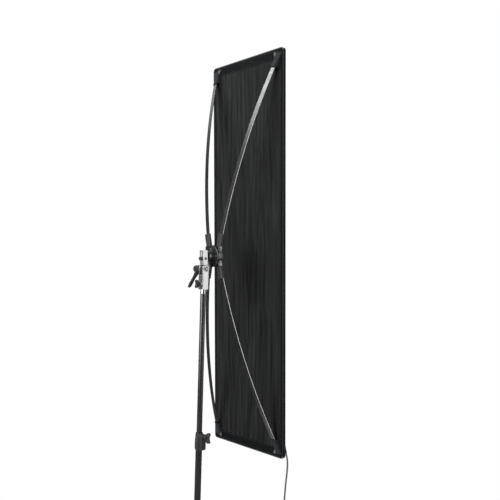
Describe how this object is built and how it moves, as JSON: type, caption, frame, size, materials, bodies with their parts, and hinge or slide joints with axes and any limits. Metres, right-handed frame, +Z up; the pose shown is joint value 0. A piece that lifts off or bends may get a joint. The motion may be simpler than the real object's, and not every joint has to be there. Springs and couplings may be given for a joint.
{
  "type": "studio softbox",
  "caption": "Tall flat fabric light panel on bowed cross arms and a tilting head, on a telescopic light stand with a folding tripod.",
  "frame": {"origin": "on the floor, under the middle of the object without its lead", "axes": "+Z up along the stand, the lit face looks along -Y, the arms and the stand's head are on the +Y side, +X to the right seen from the lit side"},
  "size_m": [0.8322, 0.7236, 2.1074],
  "materials": {
    "tube_black": "gloss",
    "cast_black": "satin",
    "moulded_black": "satin",
    "rubber_black": "matte",
    "chrome": "polished",
    "steel": "satin",
    "silver": "satin",
    "band_steel": "satin",
    "back_fabric": "ribbed",
    "pocket_fabric": "woven",
    "diffuser_fabric": "fine weave",
    "mat": "coated",
    "emitters": "clear gloss",
    "lead_jacket": "satin"
  },
  "bodies": {
    "stand_base": {"base_tube": "tube_black", "base_plug": "moulded_black", "brace_collar": "moulded_black", "brace_pins": "steel", "base_clamp": "moulded_black"},
    "base_knob": {"base_knob": "moulded_black"},
    "leg_collar": {"leg_collar": "moulded_black", "leg_collar_rivets": "steel"},
    "leg_collar_knob": {"leg_collar_knob": "moulded_black"},
    "mid_section": {"mid_tube": "tube_black", "mid_guide": "moulded_black", "mid_clamp": "moulded_black"},
    "mid_knob": {"mid_knob": "moulded_black"},
    "top_section": {"top_tube": "tube_black", "top_guide": "moulded_black", "spigot": "chrome"},
    "receiver": {"receiver_body": "silver", "tilt_bolt": "chrome", "tilt_washers": "steel"},
    "receiver_knob": {"receiver_knob": "moulded_black"},
    "lever": {"lever_nut": "steel", "lever_screw": "steel"},
    "lever_handle": {"lever_handle": "moulded_black"},
    "head": {"tilt_arm": "cast_black", "umbrella_block": "silver"},
    "umbrella_knob": {"umbrella_knob": "moulded_black"},
    "panel": {"roll_bolt": "steel", "roll_nut": "steel", "hub_body": "cast_black", "hub_cap": "moulded_black", "hub_screws": "steel", "arm_sockets": "moulded_black", "arm_upper_left": "band_steel", "arm_upper_right": "band_steel", "arm_lower_left": "band_steel", "arm_lower_right": "band_steel", "arm_tips": "moulded_black", "corner_pockets": "pocket_fabric", "back_cover": "back_fabric", "side_wall": "back_fabric", "diffuser": "diffuser_fabric", "light_mat": "mat", "led_rows": "emitters", "lead_gland": "rubber_black", "lead": "lead_jacket", "connector_boot": "lead_jacket", "connector_shell": "lead_jacket"},
    "brace_1": {"brace_1": "tube_black", "brace_rivet_1": "steel"},
    "leg_1": {"leg_1": "tube_black", "foot_1": "rubber_black"},
    "brace_2": {"brace_2": "tube_black", "brace_rivet_2": "steel"},
    "leg_2": {"leg_2": "tube_black", "foot_2": "rubber_black"},
    "brace_3": {"brace_3": "tube_black", "brace_rivet_3": "steel"},
    "leg_3": {"leg_3": "tube_black", "foot_3": "rubber_black"}
  },
  "joints": [
    {"name": "brace_fold_1", "type": "hinge", "parent": "stand_base", "child": "brace_1", "pos_m": [0, 0.09265, 0.069], "axis": [-1, 0, 0], "range_deg": [0, 43]},
    {"name": "leg_swing_1", "type": "hinge", "parent": "brace_1", "child": "leg_1", "pos_m": [0, -0.09384, 0.24291], "axis": [1, 0, 0], "range_deg": [0, 86]},
    {"name": "brace_fold_2", "type": "hinge", "parent": "stand_base", "child": "brace_2", "pos_m": [0.02079, 0.12865, 0.069], "axis": [0.5, -0.866, 0], "range_deg": [0, 43]},
    {"name": "leg_swing_2", "type": "hinge", "parent": "brace_2", "child": "leg_2", "pos_m": [0.18229, 0.2219, 0.24291], "axis": [-0.5, 0.866, 0], "range_deg": [0, 86]},
    {"name": "brace_fold_3", "type": "hinge", "parent": "stand_base", "child": "brace_3", "pos_m": [-0.02079, 0.12865, 0.069], "axis": [0.5, 0.866, 0], "range_deg": [0, 43]},
    {"name": "leg_swing_3", "type": "hinge", "parent": "brace_3", "child": "leg_3", "pos_m": [-0.18229, 0.2219, 0.24291], "axis": [-0.5, -0.866, 0], "range_deg": [0, 86]},
    {"name": "leg_collar_slide", "type": "slide", "parent": "stand_base", "child": "leg_collar", "axis": [0, 0, 1], "range_m": [0, 0.1611]},
    {"name": "mid_slide", "type": "slide", "parent": "stand_base", "child": "mid_section", "axis": [0, 0, 1], "range_m": [-0.18, 0.25]},
    {"name": "top_slide", "type": "slide", "parent": "mid_section", "child": "top_section", "axis": [0, 0, 1], "range_m": [-0.3, 0.11]},
    {"name": "pan", "type": "hinge", "parent": "top_section", "child": "receiver", "pos_m": [0, 0.11665, 1.42], "axis": [0, 0, 1], "continuous": true},
    {"name": "tilt", "type": "hinge", "parent": "receiver", "child": "head", "pos_m": [0, 0.11665, 1.463], "axis": [-1, 0, 0], "range_deg": [-12, 75]},
    {"name": "roll", "type": "hinge", "parent": "head", "child": "panel", "pos_m": [0, 0.08027, 1.50159], "axis": [0, 0.9991, -0.0427], "range_deg": [-90, 90]},
    {"name": "lever_turn", "type": "hinge", "parent": "receiver", "child": "lever", "pos_m": [0.018, 0.11665, 1.463], "axis": [1, 0, 0], "range_deg": [-10, 110]},
    {"name": "lever_pull", "type": "slide", "parent": "lever", "child": "lever_handle", "axis": [1, 0, 0], "range_m": [0, 0.004], "stiffness_N_per_m": 600, "springref_m": -0.003},
    {"name": "base_knob_turn", "type": "hinge", "parent": "stand_base", "child": "base_knob", "pos_m": [-0.023, 0.11665, 0.716], "axis": [-1, 0, 0], "continuous": true},
    {"name": "leg_collar_knob_turn", "type": "hinge", "parent": "leg_collar", "child": "leg_collar_knob", "pos_m": [0, 0.14165, 0.41782], "axis": [0, 1, 0], "continuous": true},
    {"name": "mid_knob_turn", "type": "hinge", "parent": "mid_section", "child": "mid_knob", "pos_m": [-0.023, 0.11665, 0.982], "axis": [-1, 0, 0], "continuous": true},
    {"name": "receiver_knob_turn", "type": "hinge", "parent": "receiver", "child": "receiver_knob", "pos_m": [0, 0.13115, 1.42], "axis": [0, 1, 0], "continuous": true},
    {"name": "umbrella_knob_turn", "type": "hinge", "parent": "head", "child": "umbrella_knob", "pos_m": [0, 0.12593, 1.49263], "axis": [0, 0.9991, -0.0427], "continuous": true}
  ],
  "couplings": [
    {"joint": "leg_swing_1", "follows": "brace_fold_1", "ratio": 2},
    {"joint": "brace_fold_2", "follows": "brace_fold_1", "ratio": 1},
    {"joint": "leg_swing_2", "follows": "brace_fold_1", "ratio": 2},
    {"joint": "brace_fold_3", "follows": "brace_fold_1", "ratio": 1},
    {"joint": "leg_swing_3", "follows": "brace_fold_1", "ratio": 2},
    {"joint": "leg_collar_slide", "follows": "brace_fold_1", "m_per_rad": 0.21444}
  ]
}
